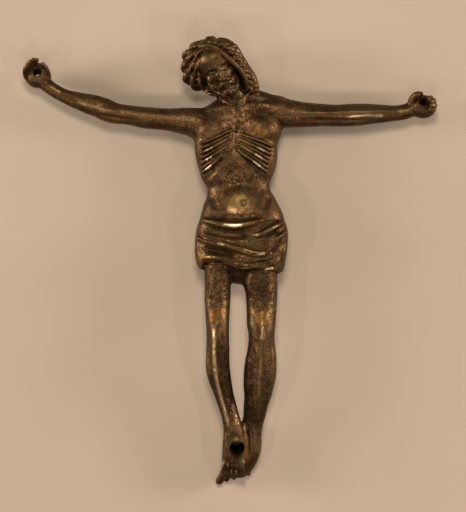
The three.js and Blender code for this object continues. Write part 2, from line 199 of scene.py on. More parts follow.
body = {
    "torso": [
        (2.6, 54.2, 7.6, 6.0, 3.6), (2.5, 51.6, 7.4, 10.6, 5.0), (2.0, 48.0, 7.0, 13.5, 6.4),
        (1.83, 42.8, 7.1, 13.9, 7.3), (1.83, 37.5, 7.3, 13.85, 7.7), (2.0, 34.8, 7.4, 13.7, 7.7),
        (2.17, 32.2, 7.5, 13.2, 7.4), (2.17, 29.5, 7.5, 12.5, 7.0), (2.0, 26.8, 7.5, 11.4, 6.5),
        (2.67, 24.2, 7.5, 10.35, 6.2), (3.33, 21.5, 7.8, 11.3, 6.6), (3.5, 18.8, 8.2, 12.5, 7.2),
        (3.83, 16.2, 8.4, 13.5, 7.7), (3.83, 13.5, 8.4, 14.2, 8.1), (3.67, 6.5, 8.4, 14.6, 8.4),
        (3.6, 0.0, 8.8, 13.6, 7.6), (3.8, -3.0, 9.2, 12.2, 6.6),
    ],
    "loincloth": [
        (3.8, 14.9, 8.4, 12.8, 7.6), (3.83, 13.7, 8.5, 14.2, 8.3), (3.83, 10.8, 8.5, 15.3, 8.7),
        (3.67, 8.2, 8.5, 15.5, 8.8), (3.5, 5.5, 8.5, 15.4, 8.8), (3.33, 2.8, 8.6, 15.1, 8.7),
        (3.6, 0.4, 8.7, 14.2, 8.3), (3.8, -0.5, 8.8, 13.3, 8.0), (4.0, -0.9, 8.8, 12.6, 7.5),
    ],
    # Where the cloth's front starts and how low its hem hangs, from the figure's right to its left
    "waist": [(-12.0, 14.9), (-6.7, 13.9), (-2.3, 12.9), (0.7, 12.6), (4.0, 12.7), (7.3, 13.3),
              (10.7, 14.2), (18.0, 15.0)],
    "hem": [(-11.5, -4.4), (-9.6, -4.0), (-8.0, -1.8), (-5.5, -0.9), (-2.0, -1.3), (1.0, -2.4),
            (4.6, -3.2), (7.6, -2.6), (10.4, -3.2), (13.2, -2.2), (15.6, -3.2), (17.4, -5.0),
            (18.4, -5.2)],
    "neck": [(2.6, 49.0, 8.4, 5.6, 4.4), (1.6, 53.6, 9.0, 4.7, 4.3), (-0.6, 57.6, 10.4, 4.5, 4.4),
             (-2.6, 61.6, 12.0, 4.6, 4.6)],
    "rightArm": [
        (-6.0, 44.8, 7.2, 6.6, 5.2), (-10.6, 45.4, 7.2, 5.7, 4.9), (-13.3, 46.2, 7.2, 5.0, 4.6),
        (-16.0, 46.7, 7.2, 4.5, 4.3), (-18.7, 46.9, 7.2, 4.05, 4.1), (-21.3, 47.2, 7.2, 3.75, 3.9),
        (-25.3, 47.5, 7.2, 3.7, 3.8), (-29.3, 47.9, 7.2, 3.7, 3.7), (-32.0, 48.3, 7.2, 3.5, 3.5),
        (-34.7, 48.8, 7.2, 3.35, 3.35), (-37.3, 49.1, 7.3, 3.5, 3.4), (-40.0, 49.9, 7.3, 4.0, 3.6),
        (-42.7, 50.8, 7.4, 4.05, 3.6), (-45.3, 51.8, 7.5, 3.75, 3.3), (-48.0, 52.4, 7.5, 3.5, 3.0),
        (-50.7, 53.3, 7.5, 3.15, 2.7), (-53.3, 54.1, 7.4, 2.85, 2.4), (-56.0, 55.3, 7.3, 2.6, 2.2),
        (-58.7, 56.8, 7.1, 2.7, 2.0), (-61.0, 58.6, 6.9, 3.2, 1.9),
    ],
    "leftArm": [
        (9.0, 47.6, 7.2, 6.4, 5.2), (13.3, 49.2, 7.2, 6.2, 4.9), (16.7, 49.7, 7.2, 5.5, 4.6),
        (19.3, 49.3, 7.2, 4.85, 4.3), (22.0, 49.0, 7.2, 4.5, 4.1), (26.0, 48.7, 7.2, 4.15, 3.9),
        (30.0, 48.7, 7.2, 3.85, 3.8), (35.3, 48.5, 7.2, 3.7, 3.6), (40.7, 48.7, 7.3, 3.85, 3.6),
        (43.3, 48.8, 7.4, 3.75, 3.5), (46.0, 49.0, 7.5, 3.55, 3.3), (48.7, 49.05, 7.5, 3.25, 3.0),
        (51.3, 49.15, 7.5, 3.05, 2.7), (54.0, 49.2, 7.4, 2.75, 2.4), (57.0, 49.5, 7.2, 2.7, 2.1),
        (60.0, 50.4, 7.0, 3.0, 1.9),
    ],
    "rightLeg": [
        (-4.1, 2.0, 9.6, 4.8, 6.6), (-4.2, -2.6, 9.8, 4.6, 6.2), (-4.3, -7.8, 10.0, 4.4, 5.6),
        (-4.33, -13.2, 10.4, 4.35, 5.0), (-4.33, -18.5, 11.4, 4.05, 4.7),
        (-4.25, -23.8, 11.9, 3.8, 4.5), (-4.2, -29.2, 11.1, 3.9, 4.3), (-4.33, -34.5, 10.3, 4.05, 4.3),
        (-4.0, -37.2, 9.9, 4.05, 4.2), (-3.5, -39.8, 9.5, 3.9, 4.1), (-2.83, -42.5, 9.2, 3.55, 3.9),
        (-2.0, -45.2, 8.9, 3.35, 3.6), (-1.17, -47.8, 8.7, 3.2, 3.4), (-0.33, -50.5, 8.6, 3.1, 3.2),
        (0.4, -53.2, 8.6, 3.15, 3.1), (0.95, -55.8, 8.6, 3.35, 3.0), (1.05, -58.5, 8.5, 3.5, 3.0),
        (1.0, -61.2, 8.3, 3.75, 2.9), (1.05, -63.8, 8.0, 3.9, 2.7), (0.95, -66.0, 7.6, 4.0, 2.3),
        (0.9, -67.8, 7.2, 3.8, 1.8),
    ],
    "leftLeg": [
        (10.2, 2.0, 9.6, 5.4, 6.5), (10.0, -3.0, 9.6, 5.6, 6.1), (9.9, -7.8, 9.7, 5.8, 5.6),
        (10.3, -10.5, 9.8, 5.4, 5.3), (10.33, -15.8, 10.3, 5.05, 5.0), (10.2, -21.2, 10.9, 4.85, 4.8),
        (10.33, -23.8, 10.9, 4.45, 4.7), (10.33, -26.5, 10.6, 4.4, 4.6), (10.33, -29.2, 10.2, 4.7, 4.6),
        (10.2, -31.8, 9.8, 5.2, 4.8), (10.0, -34.5, 9.3, 5.4, 4.9), (9.85, -37.2, 8.9, 5.55, 5.0),
        (9.67, -39.8, 8.5, 5.4, 4.9), (9.33, -42.5, 8.0, 5.05, 4.7), (9.17, -45.2, 7.4, 4.55, 4.4),
        (8.5, -47.8, 6.9, 4.2, 4.1), (8.17, -50.5, 6.3, 3.9, 3.8), (7.67, -53.2, 5.8, 3.7, 3.5),
        (7.0, -55.8, 5.4, 3.7, 3.3), (6.5, -58.5, 5.1, 3.85, 3.2), (6.2, -61.2, 4.8, 4.2, 3.1),
        (6.0, -63.8, 4.5, 4.15, 3.0), (4.9, -66.5, 4.2, 4.3, 2.8), (3.3, -69.2, 3.9, 4.7, 2.4),
        (1.3, -71.4, 3.4, 4.9, 1.9), (0.6, -72.7, 3.0, 3.9, 1.3),
    ],
    # The fullness across the back of the shoulders: x, y, z, radius
    "nape": [(-2.4, 53.0, 7.6, 2.6), (2.6, 54.6, 7.6, 3.4), (9.4, 53.7, 7.6, 3.3), (17.6, 50.8, 7.2, 3.0)],
    "squareness": {"torso": 2.35, "loincloth": 2.4, "limb": 2.1},
}

# Balls of clay under the skin: centre, radii
muscles = {
    "lower belly": ((3.0, 18.6, 8.2), (10.0, 10.0, 7.7)),
    "right breast": ((-4.4, 43.6, 7.0), (8.8, 7.4, 7.1)),
    "left breast": ((8.4, 43.6, 7.0), (8.8, 7.4, 7.1)),
    "right knee": ((-4.3, -18.0, 12.4), (3.1, 5.6, 3.9)),
    "left knee": ((10.5, -19.2, 11.8), (3.6, 5.6, 4.2)),
    "left heel": ((8.2, -60.6, 3.6), (2.4, 3.2, 2.8)),
    "metal between the feet": ((2.6, -61.6, 3.4), (5.2, 8.0, 4.4)),
    "cloth between the thighs": ((2.8, -1.0, 9.0), (5.2, 6.9, 6.3)),
}


def blockOutBody():
    square = body["squareness"]
    forms = [ringForm(body["torso"], "Y", sides=36, squareness=square["torso"]), ringForm(body["neck"], "Y")]
    for limb, lieAlong in (("rightArm", "X"), ("leftArm", "X"), ("rightLeg", "Y"), ("leftLeg", "Y")):
        forms.append(ringForm(body[limb], lieAlong, squareness=square["limb"]))
    forms += [ballForm(centre, radii) for centre, radii in muscles.values()]
    forms.append(cordForm([tube(body["nape"])], sides=6))
    return forms


def skinOf(stations, squareness):
    # The front height of a ring form over a point of the plan
    rings = smoothRun(stations, setup["ringGap"])[::-1]

    def height(x, y):
        middle, z, width, depth = (np.interp(y, rings[:, 1], rings[:, k]) for k in (0, 2, 3, 4))
        return z + depth * max(0.0, 1 - min(1.0, abs(x - middle) / width) ** squareness) ** (1 / squareness)
    return height


# Rolls of the loincloth in plan: path, radius
rolls = [
    ([(-10.4, 13.8), (-6.7, 13.0), (-2.3, 12.0), (0.7, 11.7), (4.0, 11.9), (7.3, 12.7), (10.7, 13.7)], 1.5),
    ([(6.4, 8.9), (9.3, 8.6), (12.0, 9.8), (14.7, 11.4), (16.7, 12.6), (18.4, 13.0)], 1.35),
    ([(12.7, 5.4), (15.0, 7.4), (17.2, 8.9), (18.7, 10.4)], 1.0),
    ([(-11.4, 8.4), (-9.0, 6.9), (-5.0, 5.8), (-1.7, 5.2), (1.0, 4.4), (4.0, 3.6), (7.3, 2.8),
      (10.0, 2.4), (12.0, 3.2), (14.3, 6.0), (16.4, 8.0)], 1.35),
    ([(1.0, 2.4), (5.3, 0.9), (10.0, 0.2), (12.4, 1.0)], 0.9),
    ([(-11.0, 0.2), (-8.0, 1.2), (-5.7, 1.3), (-3.3, 0.8), (-0.7, 0.2)], 1.15),
    ([(18.7, 6.4), (17.7, 3.5), (16.6, 0.8), (15.6, -1.5)], 1.0),
    ([(10.4, -3.1), (12.6, -2.5), (15.0, -2.6), (16.6, -4.2)], 0.9),
]
sunk = 0.2  # how much of its radius each roll lies under the skin
thinEndsUnder = 0.9  # mm by which a roll's thin ends go deeper


def blockOutLoincloth():
    cloth = ringForm(body["loincloth"], "Y", sides=44, squareness=body["squareness"]["loincloth"])
    waist, hem = np.array(body["waist"]), np.array(body["hem"])
    top, bottom = body["loincloth"][0][1], body["loincloth"][-1][1]
    backHem = -1.6
    for v in cloth.data.vertices:
        front = float(ease((v.co.z - 6) / 5))
        high = top + (np.interp(v.co.x, waist[:, 0], waist[:, 1]) - top) * front
        low = backHem + (np.interp(v.co.x, hem[:, 0], hem[:, 1]) - backHem) * front
        v.co.y = low + (high - low) * (v.co.y - bottom) / (top - bottom)
    skin = skinOf(body["loincloth"], body["squareness"]["loincloth"])
    runs = []
    for path, radius in rolls:
        run = smoothRun(path, 0.6)
        share = np.linspace(0, 1, len(run))
        girth = radius * (0.3 + 0.7 * np.sin(math.pi * share) ** 0.6)
        rings = np.array(body["loincloth"])[::-1]
        middle, reach = (np.interp(run[:, 1], rings[:, 1], rings[:, k]) for k in (0, 3))
        reach = reach - girth - 0.3
        across = np.clip(run[:, 0], middle - reach, middle + reach)
        under = girth * sunk + thinEndsUnder * (1 - girth / radius)
        runs.append([(x, y, skin(x, y) - low, r) for x, y, low, r in zip(across, run[:, 1], under, girth)])
    return [cloth, cordForm(runs)]


# Hands and feet

hands = {
    "right": {
        "palm": ((-64.3, 61.9, 6.2), (4.4, 4.3, 3.2)),
        "wrist": [(-56.4, 55.6, 7.2, 2.2), (-59.6, 57.4, 7.0, 2.3), (-62.4, 59.6, 6.4, 2.4)],
        "thumb": [(-61.2, 59.2, 6.8, 1.2), (-60.7, 61.8, 7.8, 1.0), (-61.4, 64.2, 9.2, 0.85),
                  (-62.5, 65.6, 10.4, 0.7)],
        "fingers": [
            [(-66.8, 60.0, 6.6), (-68.3, 61.8, 8.0), (-68.4, 63.6, 9.6), (-67.8, 64.9, 10.8)],
            [(-66.2, 61.2, 6.6), (-67.3, 63.2, 8.2), (-67.4, 65.0, 10.0), (-66.8, 66.2, 11.4)],
            [(-65.5, 62.4, 6.6), (-66.1, 64.2, 8.2), (-66.2, 66.0, 10.0), (-65.5, 67.0, 11.6)],
            [(-64.6, 63.4, 6.6), (-64.9, 64.8, 8.2), (-64.9, 66.2, 9.8), (-64.3, 66.9, 11.2)],
        ],
        "fingerRadius": 0.92,
    },
    "left": {
        "palm": ((64.2, 51.5, 6.2), (4.6, 4.0, 3.2)),
        "wrist": [(56.0, 49.2, 7.2, 2.3), (59.2, 50.0, 7.0, 2.4), (62.2, 51.2, 6.4, 2.5)],
        "thumb": [(60.2, 51.6, 7.0, 1.6), (60.8, 53.8, 8.2, 1.5), (61.8, 55.2, 9.4, 1.3),
                  (63.2, 55.5, 10.4, 1.05)],
        "fingers": [
            [(64.6, 53.4, 6.6), (66.2, 54.2, 8.2), (66.6, 54.3, 10.0), (65.6, 53.9, 11.4)],
            [(65.8, 52.6, 6.6), (67.3, 53.2, 8.2), (67.7, 53.3, 10.0), (66.7, 53.0, 11.4)],
            [(66.2, 51.4, 6.6), (67.7, 51.8, 8.2), (68.0, 51.8, 9.8), (66.9, 51.7, 11.0)],
            [(66.0, 50.2, 6.4), (67.3, 50.4, 8.0), (67.6, 50.4, 9.4), (66.6, 50.5, 10.4)],
        ],
        "fingerRadius": 1.0,
    },
}

# Toes of each foot from the big toe to the little one: their roots and their tips
feet = {
    "right": {
        "roots": ((3.6, -66.4, 8.2), (-2.0, -66.8, 8.0)),
        "tips": ((4.1, -71.4, 7.0), (-2.7, -70.7, 6.8)),
        "radius": 0.84,
    },
    "left": {
        "roots": ((-1.4, -69.4, 3.8), (5.6, -69.0, 3.6)),
        "tips": ((-3.7, -73.6, 2.4), (6.0, -71.2, 2.4)),
        "radius": 1.2,
    },
}


def blockOutHand(hand):
    radius = hand["fingerRadius"]
    runs = [tube(hand["thumb"], 0.5)]
    for finger in hand["fingers"]:  # out along the palm, then curled up over it
        runs.append(tube([(x, y, z, radius * (1.12 - 0.1 * i)) for i, (x, y, z) in enumerate(finger)], 0.4))
    return [ballForm(*hand["palm"]), cordForm([tube(hand["wrist"], 0.5)], sides=6), cordForm(runs)]


def blockOutToes(foot):
    runs = []
    count = 5
    for i in range(count):
        root, tip = (between(*foot[end], i / (count - 1)) for end in ("roots", "tips"))
        radius = foot["radius"] * (1.25 if i == 0 else 1 - 0.05 * i)
        stations = []
        for share, lift, girth in ((-0.3, 0.0, 0.8), (0.3, 0.7, 0.95), (0.7, 0.5, 0.86), (1.0, -0.1, 0.94)):
            at = root + (tip - root) * share
            stations.append((at[0], at[1], at[2] + lift, radius * girth))
        runs.append(tube(stations, 0.4))
    return [cordForm(runs)]


# Head and hair are made upright about the head's middle, then tilted and bowed into place

head = {
    "centre": (-4.7, 64.8, 13.2),
    "tilt": math.radians(27),  # the crown leans to the figure's right
    "bow": math.radians(16),
}
headPlace = (Matrix.Translation(head["centre"]) @ Matrix.Rotation(head["tilt"], 4, "Z")
             @ Matrix.Rotation(head["bow"], 4, "X"))

face = {
    "balls": [
        ((0, 1.6, -0.6), (6.1, 7.1, 7.3)),  # skull
        ((0, -1.8, 1.5), (4.9, 6.3, 5.1)),  # face
        ((0, 3.4, 2.3), (5.0, 4.0, 4.2)),  # forehead
        ((0, -6.4, 2.7), (3.5, 2.9, 3.2)),  # jaw
        ((0, -5.6, 4.3), (2.5, 2.0, 2.3)),  # mouth
        ((0, -8.5, 4.2), (2.5, 1.9, 2.2)),  # beard on the chin
    ],
    "paired": [
        ((3.3, -5.2, 2.0), (1.7, 2.6, 2.6)),  # cheek and side of the beard
        ((3.2, -2.3, 3.7), (1.9, 1.7, 1.6)),  # cheekbone
        ((0.85, -3.45, 6.6), (0.6, 0.55, 0.6)),  # side of the nose
    ],
    "nose": [(0, 1.2, 6.3, 0.5), (0, -0.6, 6.8, 0.55), (0, -2.4, 7.4, 0.66), (0, -3.2, 7.6, 0.72)],
    "brow": [(-3.7, 0.6, 4.6, 0.5), (-2.3, 1.3, 5.8, 0.55), (-0.6, 1.1, 6.3, 0.5), (0.6, 1.1, 6.3, 0.5),
             (2.3, 1.3, 5.8, 0.55), (3.7, 0.6, 4.6, 0.5)],
    "lips": [[(-1.4, -5.9, 6.1, 0.28), (0, -5.75, 6.6, 0.36), (1.4, -5.9, 6.1, 0.28)],
             [(-1.1, -6.5, 5.9, 0.26), (0, -6.6, 6.4, 0.4), (1.1, -6.5, 5.9, 0.26)]],
    "moustache": [(0.2, -4.8, 6.7, 0.42), (1.4, -5.1, 6.3, 0.48), (2.5, -6.2, 5.3, 0.45),
                  (3.0, -7.6, 4.2, 0.35)],
    "beard": [(5.0, -1.8, 0.2, 0.7), (4.7, -4.4, 1.0, 1.0), (3.8, -6.8, 2.2, 1.2), (2.2, -8.8, 3.4, 1.2),
              (0.4, -9.8, 4.0, 1.2)],
    "beardStrands": 7,
}

# Each lock is x, y, z and its radius from the parting down, in the figure's own place
hair = {
    "cap": ((-0.4, 1.6, -2.2), (7.6, 7.6, 6.8)),  # about the head's middle
    "nape": [(2.6, -1.0, -1.8, 4.4), (4.6, -6.0, -2.6, 3.6), (6.2, -10.4, -4.0, 2.8)],
    "backLocks": 6,
    "locks": [
        {"strands": 0, "path": [  # the smooth roll that frames the face
            (-8.6, 71.4, 18.0, 0.7), (-5.0, 70.6, 19.2, 0.85), (-1.7, 68.0, 19.3, 0.95),
            (1.3, 65.2, 18.4, 0.95), (3.6, 62.6, 16.8, 0.9), (5.0, 59.6, 14.8, 0.85),
            (5.4, 57.0, 13.2, 0.6)]},
        {"strands": 3, "pitch": 7.0, "path": [
            (-7.0, 72.2, 17.0, 1.2), (-3.2, 71.8, 17.6, 1.5), (0.2, 69.4, 17.2, 1.6), (2.6, 66.2, 16.2, 1.5),
            (4.8, 62.9, 14.8, 1.5), (6.2, 59.8, 13.2, 1.4), (6.8, 56.2, 11.8, 1.0)]},
        {"strands": 3, "pitch": 4.6, "path": [
            (-5.4, 72.4, 14.4, 1.3), (-2.4, 72.4, 14.8, 1.8), (0.8, 70.4, 14.6, 1.9), (2.9, 67.2, 13.8, 1.8),
            (4.9, 64.0, 12.8, 1.8), (6.9, 61.0, 11.6, 1.8), (7.9, 58.0, 10.6, 1.7), (8.4, 55.4, 9.6, 1.3)]},
        {"strands": 2, "pitch": -11, "hairs": 2, "path": [
            (-9.2, 71.2, 18.0, 0.9), (-10.6, 69.0, 18.0, 1.1), (-11.2, 66.0, 17.0, 1.2),
            (-11.4, 62.8, 15.6, 1.3), (-10.6, 59.8, 14.2, 1.2), (-9.0, 57.6, 13.0, 0.9)]},
        {"strands": 2, "pitch": -8.4, "hairs": 3, "path": [
            (-8.6, 72.2, 16.6, 1.2), (-11.6, 70.6, 16.4, 1.7), (-13.2, 67.4, 15.4, 1.8),
            (-13.1, 63.8, 14.2, 1.7), (-12.8, 60.6, 12.8, 1.7), (-10.6, 58.0, 11.6, 1.3)]},
        {"strands": 2, "pitch": -7.6, "hairs": 3, "path": [
            (-8.0, 72.2, 13.2, 1.6), (-11.6, 70.8, 12.8, 2.1), (-14.2, 67.6, 12.2, 2.2),
            (-14.4, 64.2, 11.6, 2.2), (-14.0, 61.0, 10.8, 2.1), (-11.6, 58.4, 10.0, 1.8),
            (-8.6, 57.4, 9.4, 1.3)]},
        {"strands": 2, "pitch": 9, "hairs": 3, "path": [
            (-10.4, 72.0, 14.0, 1.2), (-7.8, 73.2, 13.2, 1.5), (-5.0, 73.2, 12.0, 1.6),
            (-2.0, 72.6, 10.6, 1.5), (1.6, 70.2, 8.8, 1.4)]},
    ],
}


def blockOutHead():
    forms = [ballForm(centre, radii) for centre, radii in face["balls"]]
    cords = [tube(run, 0.4) for run in (face["nose"], face["brow"], *face["lips"])]
    for side in (-1, 1):
        forms += [ballForm((side * x, y, z), radii) for (x, y, z), radii in face["paired"]]
        for name in ("moustache", "beard"):
            cords.append(tube([(side * x, y, z, radius) for x, y, z, radius in face[name]], 0.4))
    forms.append(ballForm(*hair["cap"]))
    forms.append(cordForm([tube(hair["nape"])], sides=6))
    for i in range(hair["backLocks"]):  # plainer falls of hair behind
        x = -6.6 + 13.2 * i / (hair["backLocks"] - 1)
        fall = [(x * 0.5, 7.0, -4.6, 1.6), (x * 0.9, 3.0, -6.9, 2.0), (x * 1.02, -2.0, -7.4, 2.0),
                (x + 0.8, -7.0, -6.8, 1.8), (x * 0.9 + 2.4, -11.5, -5.6, 1.2)]
        cords += finer(rope(fall, 2, 8.5, start=i * 2.1), 3)
    forms.append(cordForm(cords))
    for form in forms:
        form.data.transform(headPlace)
    runs = []
    for lock in hair["locks"]:
        path, count = lock["path"], lock["strands"]
        strands = rope(path, count, lock["pitch"]) if count else [tube(path)]
        runs += finer(strands, lock.get("hairs", 1))
    return forms + [cordForm(runs)]


# The nail holes lean a little: a positive lean brings a hole out at the back nearer to the head
nails = {
    "foot": {"at": (2.2, -62.6, 11.0), "radius": 2.3, "lean": math.radians(14)},
    "rightHand": {"at": (-64.4, 62.4, 8.0), "radius": 1.2, "lean": math.radians(-15)},
    "leftHand": {"at": (64.2, 52.4, 8.0), "radius": 1.1, "lean": math.radians(-32)},
}


def drill(nail):
    clearSelection()
    bpy.ops.mesh.primitive_cylinder_add(vertices=48, radius=nail["radius"], depth=60, location=nail["at"],
                                        rotation=(nail["lean"], 0, 0))
    bit = bpy.context.object
    activate(figure)
    cut = figure.modifiers.new("drill", "BOOLEAN")
    cut.operation = "DIFFERENCE"
    cut.object = bit
    cut.solver = "FAST"
    bpy.ops.object.modifier_apply(modifier="drill")
    bpy.data.objects.remove(bit)


def melt(forms, voxel, rubs):
    # One skin over all the forms, then some smoothing to take the steps out
    clearSelection()
    for form in forms:
        form.select_set(True)
    bpy.context.view_layer.objects.active = forms[0]
    bpy.ops.object.join()
    skin = bpy.context.object
    remesh = skin.modifiers.new("melt", "REMESH")
    remesh.mode = "VOXEL"
    remesh.voxel_size = voxel
    bpy.ops.object.modifier_apply(modifier="melt")
    smooth = skin.modifiers.new("rub", "SMOOTH")
    smooth.factor = 0.5
    smooth.iterations = rubs
    bpy.ops.object.modifier_apply(modifier="rub")
    return skin


flesh = melt(blockOutBody(), setup["bodyVoxel"], 14)
details = blockOutLoincloth() + blockOutHand(hands["right"]) + blockOutHand(hands["left"])
details += blockOutToes(feet["right"]) + blockOutToes(feet["left"]) + blockOutHead()
figure = melt([flesh] + details, setup["voxel"], 4)
for nail in nails.values():
    drill(nail)
figure = melt([figure], setup["voxel"], 2)  # takes the bores' sharp rims down to a cast edge
print("melted", len(figure.data.polygons), "faces")


# Carving: strokes move the clay along its own surface, out or in

profiles = {
    "round": lambda u: (1 - u * u) ** 2,
    "bead": lambda u: 1 - u * u,
    "crest": lambda u: (1 - u) ** 1.4,
}


class Clay:
    def __init__(self, obj):
        self.mesh = obj.data
        self.co = np.empty(len(self.mesh.vertices) * 3)
        self.mesh.vertices.foreach_get("co", self.co)
        self.co = self.co.reshape(-1, 3)
        self.edges = np.empty(len(self.mesh.edges) * 2, int)
        self.mesh.edges.foreach_get("vertices", self.edges)
        self.edges = self.edges.reshape(-1, 2)
        self.ways = np.bincount(self.edges.ravel(), minlength=len(self.co))
        self.feel()

    def feel(self):  # writes the clay back and reads how its surface faces now
        self.mesh.vertices.foreach_set("co", self.co.ravel())
        self.mesh.update()
        facing = np.empty(self.co.size)
        self.mesh.vertices.foreach_get("normal", facing)
        self.facing = facing.reshape(-1, 3)

    def relax(self, times, weight):  # evens the clay out
        first, second = self.edges.T
        count = len(self.co)
        for _ in range(times):
            total = np.column_stack([np.bincount(first, self.co[second, k], count)
                                     + np.bincount(second, self.co[first, k], count) for k in range(3)])
            self.co = self.co + (total / self.ways[:, None] - self.co) * weight
        self.feel()

    def reach(self, path, width, steep=1.0, place=None):
        # Which vertices face up beside a path of plan points, how far off it they lie (1 at its width)
        # and how far along. steep under 1 narrows its right-hand side. place is the plan's own frame.
        path = smoothRun(path, width)
        co, up = self.co, self.facing[:, 2]
        if place is not None:
            back = np.array(place.inverted())
            co, up = co @ back[:3, :3].T + back[:3, 3], self.facing @ back[2, :3]
        low, high = path.min(0) - width, path.max(0) + width
        near = np.all((co[:, :2] > low) & (co[:, :2] < high), axis=1) & (up > 0.12)
        if place is not None:
            near &= (np.abs(co[:, 2]) < 12)
        picked = np.nonzero(near)[0]
        points = co[picked][:, :2]
        best = np.full(len(picked), 1e9)
        along = np.zeros(len(picked))
        right = np.zeros(len(picked), bool)
        for k, (a, b) in enumerate(zip(path, path[1:])):
            line = b - a
            t = np.clip((points - a) @ line / (line @ line), 0, 1)
            off = points - a - t[:, None] * line
            gap = np.linalg.norm(off, axis=1)
            closer = gap < best
            best[closer] = gap[closer]
            along[closer] = ((k + t) / (len(path) - 1))[closer]
            if steep != 1.0:
                right[closer] = (line[0] * off[:, 1] - line[1] * off[:, 0] < 0)[closer]
        return picked, np.minimum(best / np.where(right, width * steep, width), 1), along

    def stroke(self, path, width, height, profile="round", fade=0.3, steep=1.0, place=None):
        picked, off, along = self.reach(path, width, steep, place)
        ends = ease(along / fade) * ease((1 - along) / fade) if fade else 1
        push = np.where(off < 1, profiles[profile](off) * ends * height, 0)
        self.co[picked] += self.facing[picked] * push[:, None]

    def swell(self, centre, radii, height):
        u = np.linalg.norm((self.co - centre) / radii, axis=1)
        picked = u < 1
        self.co[picked] += self.facing[picked] * (height * (1 - u[picked] ** 2) ** 2)[:, None]


clay = Clay(figure)

# Ribs from the breastbone outwards in plan, the highest and the lowest of each side
chest = {
    "ribs": 7,
    "rightRibs": ([(0.9, 43.8), (-3.5, 41.7), (-6.8, 40.2), (-10.6, 38.9)],
                  [(-2.4, 35.4), (-4.6, 33.2), (-7.2, 31.0), (-10.0, 28.8)]),
    "leftRibs": ([(2.7, 42.4), (6.8, 40.9), (10.7, 39.5), (14.6, 37.7)],
                 [(1.2, 37.8), (5.1, 34.8), (8.2, 32.6), (12.2, 29.2)]),
    "ribWidth": 0.52, "ribHeights": (0.85, 0.4), "grooveWidth": 0.42, "grooveDepth": 0.34,
}


def carveChest():
    clay.stroke([(2.0, 51.0), (-3.6, 51.2), (-9.4, 49.8)], 1.3, 0.3)  # collar bones
    clay.stroke([(3.2, 51.2), (8.4, 52.4), (14.8, 51.8)], 1.3, 0.3)
    clay.stroke([(2.4, 50.6), (2.0, 46.0), (1.9, 43.5)], 1.6, -0.08)  # breastbone
    clay.swell((2.0, 51.4, 12.4), (1.6, 1.5, 3.0), -0.6)  # pit of the neck
    clay.stroke([(1.4, 51.2), (-1.4, 54.4), (-4.6, 57.0)], 1.1, 0.5)  # neck tendons
    clay.stroke([(3.0, 51.6), (4.8, 54.6), (5.6, 57.4)], 1.1, 0.4)
    clay.stroke([(-10.8, 39.4), (-6.2, 40.8), (-1.0, 43.0)], 1.6, -0.15)  # under the breasts
    clay.stroke([(14.6, 39.4), (9.6, 41.0), (4.4, 43.2)], 1.6, -0.15)
    clay.feel()
    for first, last in (chest["rightRibs"], chest["leftRibs"]):
        cage = [between(first, last, i / (chest["ribs"] - 1)) for i in range(chest["ribs"])]
        apart = (cage[0] - cage[1]) / 2
        for rib in cage:
            clay.stroke(rib - apart, chest["grooveWidth"], -chest["grooveDepth"], fade=0.2)
        clay.feel()
        for i, rib in enumerate(cage):
            clay.stroke(rib, chest["ribWidth"], chest["ribHeights"][i % 2], "bead", fade=0.12)
        clay.feel()
    # the arch of the flanks over the hollow stomach
    clay.stroke([(1.8, 40.4), (-2.4, 34.4), (-6.4, 29.0), (-9.4, 25.8)], 1.6, -0.4)
    clay.stroke([(2.2, 40.4), (5.0, 34.8), (9.2, 28.6), (12.6, 25.2)], 1.6, -0.4)
    clay.swell((2.0, 29.0, 15.0), (6.2, 8.0, 6.0), -0.3)
    for x, y in ((2.0, 44.2), (1.8, 42.9)):  # two small pits at the foot of the breastbone
        clay.swell((x, y, 14.6), (0.62, 0.6, 1.6), -0.5)
    for x, y in ((-6.0, 42.6), (9.3, 42.3)):  # nipples
        clay.swell((x, y, 14.6), (1.0, 1.0, 2.0), -0.12)
        clay.swell((x, y, 14.6), (0.55, 0.55, 2.0), 0.3)
    clay.feel()


belly = {
    "navel": (4.3, 19.2), "ring": 0.8,
    "crease": [(-8.6, 16.0), (-5.0, 15.2), (1.0, 14.6), (7.0, 15.0),
               (11.6, 16.8)],  # under it, over the cloth
}


def carveBelly():
    turns = np.linspace(0, 2 * math.pi, 13)
    ring = np.array(belly["navel"]) + belly["ring"] * np.column_stack([np.cos(turns), np.sin(turns)])
    clay.stroke(ring, 0.5, -0.34, fade=0)
    clay.stroke(belly["crease"], 1.3, -0.45)
    clay.stroke([(-7.0, 23.4), (-5.6, 19.6), (-4.6, 16.2)], 1.8, -0.3)
    clay.stroke([(12.6, 22.6), (12.0, 19.4), (11.2, 16.6)], 1.8, -0.3)
    clay.feel()


